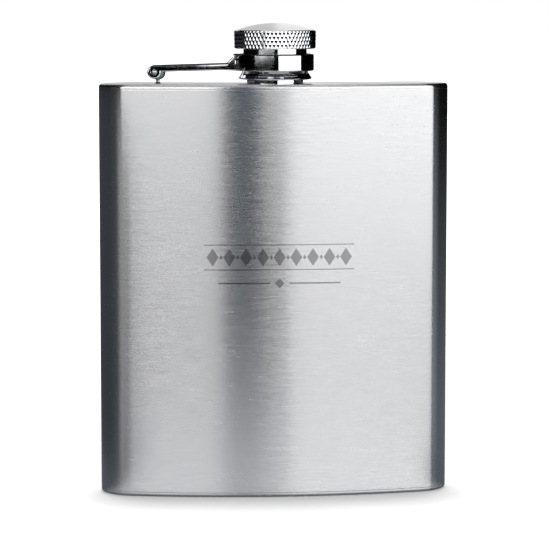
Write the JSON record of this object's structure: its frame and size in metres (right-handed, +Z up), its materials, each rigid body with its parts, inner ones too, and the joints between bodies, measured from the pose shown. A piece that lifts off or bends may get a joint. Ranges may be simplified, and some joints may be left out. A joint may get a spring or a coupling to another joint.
{
  "type": "hip flask",
  "caption": "Flat pocket flask, curved to the hip, with a welded steel body, a threaded neck and a knurled screw cap kept on a swinging strap.",
  "frame": {"origin": "on the axis of the neck and the closed cap, in the plane of the bottom face that the flask stands on", "axes": "+Z up along the neck's axis; -Y out of the bulging front face; +X along the width, away from the strap's hinge"},
  "size_m": [0.095, 0.0251, 0.128],
  "materials": {
    "brushed_body": "fine brushing along the width",
    "satin_plate": "satin, with polished rounded edges",
    "polished": "mirror polished",
    "cap_head": "polished knurl with a satin dome",
    "washer": "pale food-grade silicone"
  },
  "bodies": {
    "flask": {"body_shell": "brushed_body", "top_plate": "satin_plate", "bottom_plate": "satin_plate", "neck_spout": "polished", "hinge_post": "polished"},
    "arm": {"retaining_strap": "polished", "hinge_rivet": "polished"},
    "washer": {"cap_gasket": "washer"},
    "cap": {"cap_shell": "cap_head", "cap_insert": "polished"}
  },
  "joints": [
    {"name": "arm_swing", "type": "hinge", "parent": "flask", "child": "arm", "pos_m": [-0.0324, 0.00308, 0.11485], "axis": [-0.0946, -0.9955, 0], "range_deg": [0, 180]},
    {"name": "cap_lift", "type": "slide", "parent": "arm", "child": "washer", "axis": [0, 0, 1], "range_m": [0, 0.001]},
    {"name": "cap_turn", "type": "hinge", "parent": "washer", "child": "cap", "pos_m": [0, 0, 0.12], "axis": [0, 0, 1], "range_deg": [0, 240]}
  ],
  "couplings": [
    {"joint": "cap_lift", "follows": "cap_turn", "m_per_rad": 0.00023871}
  ]
}
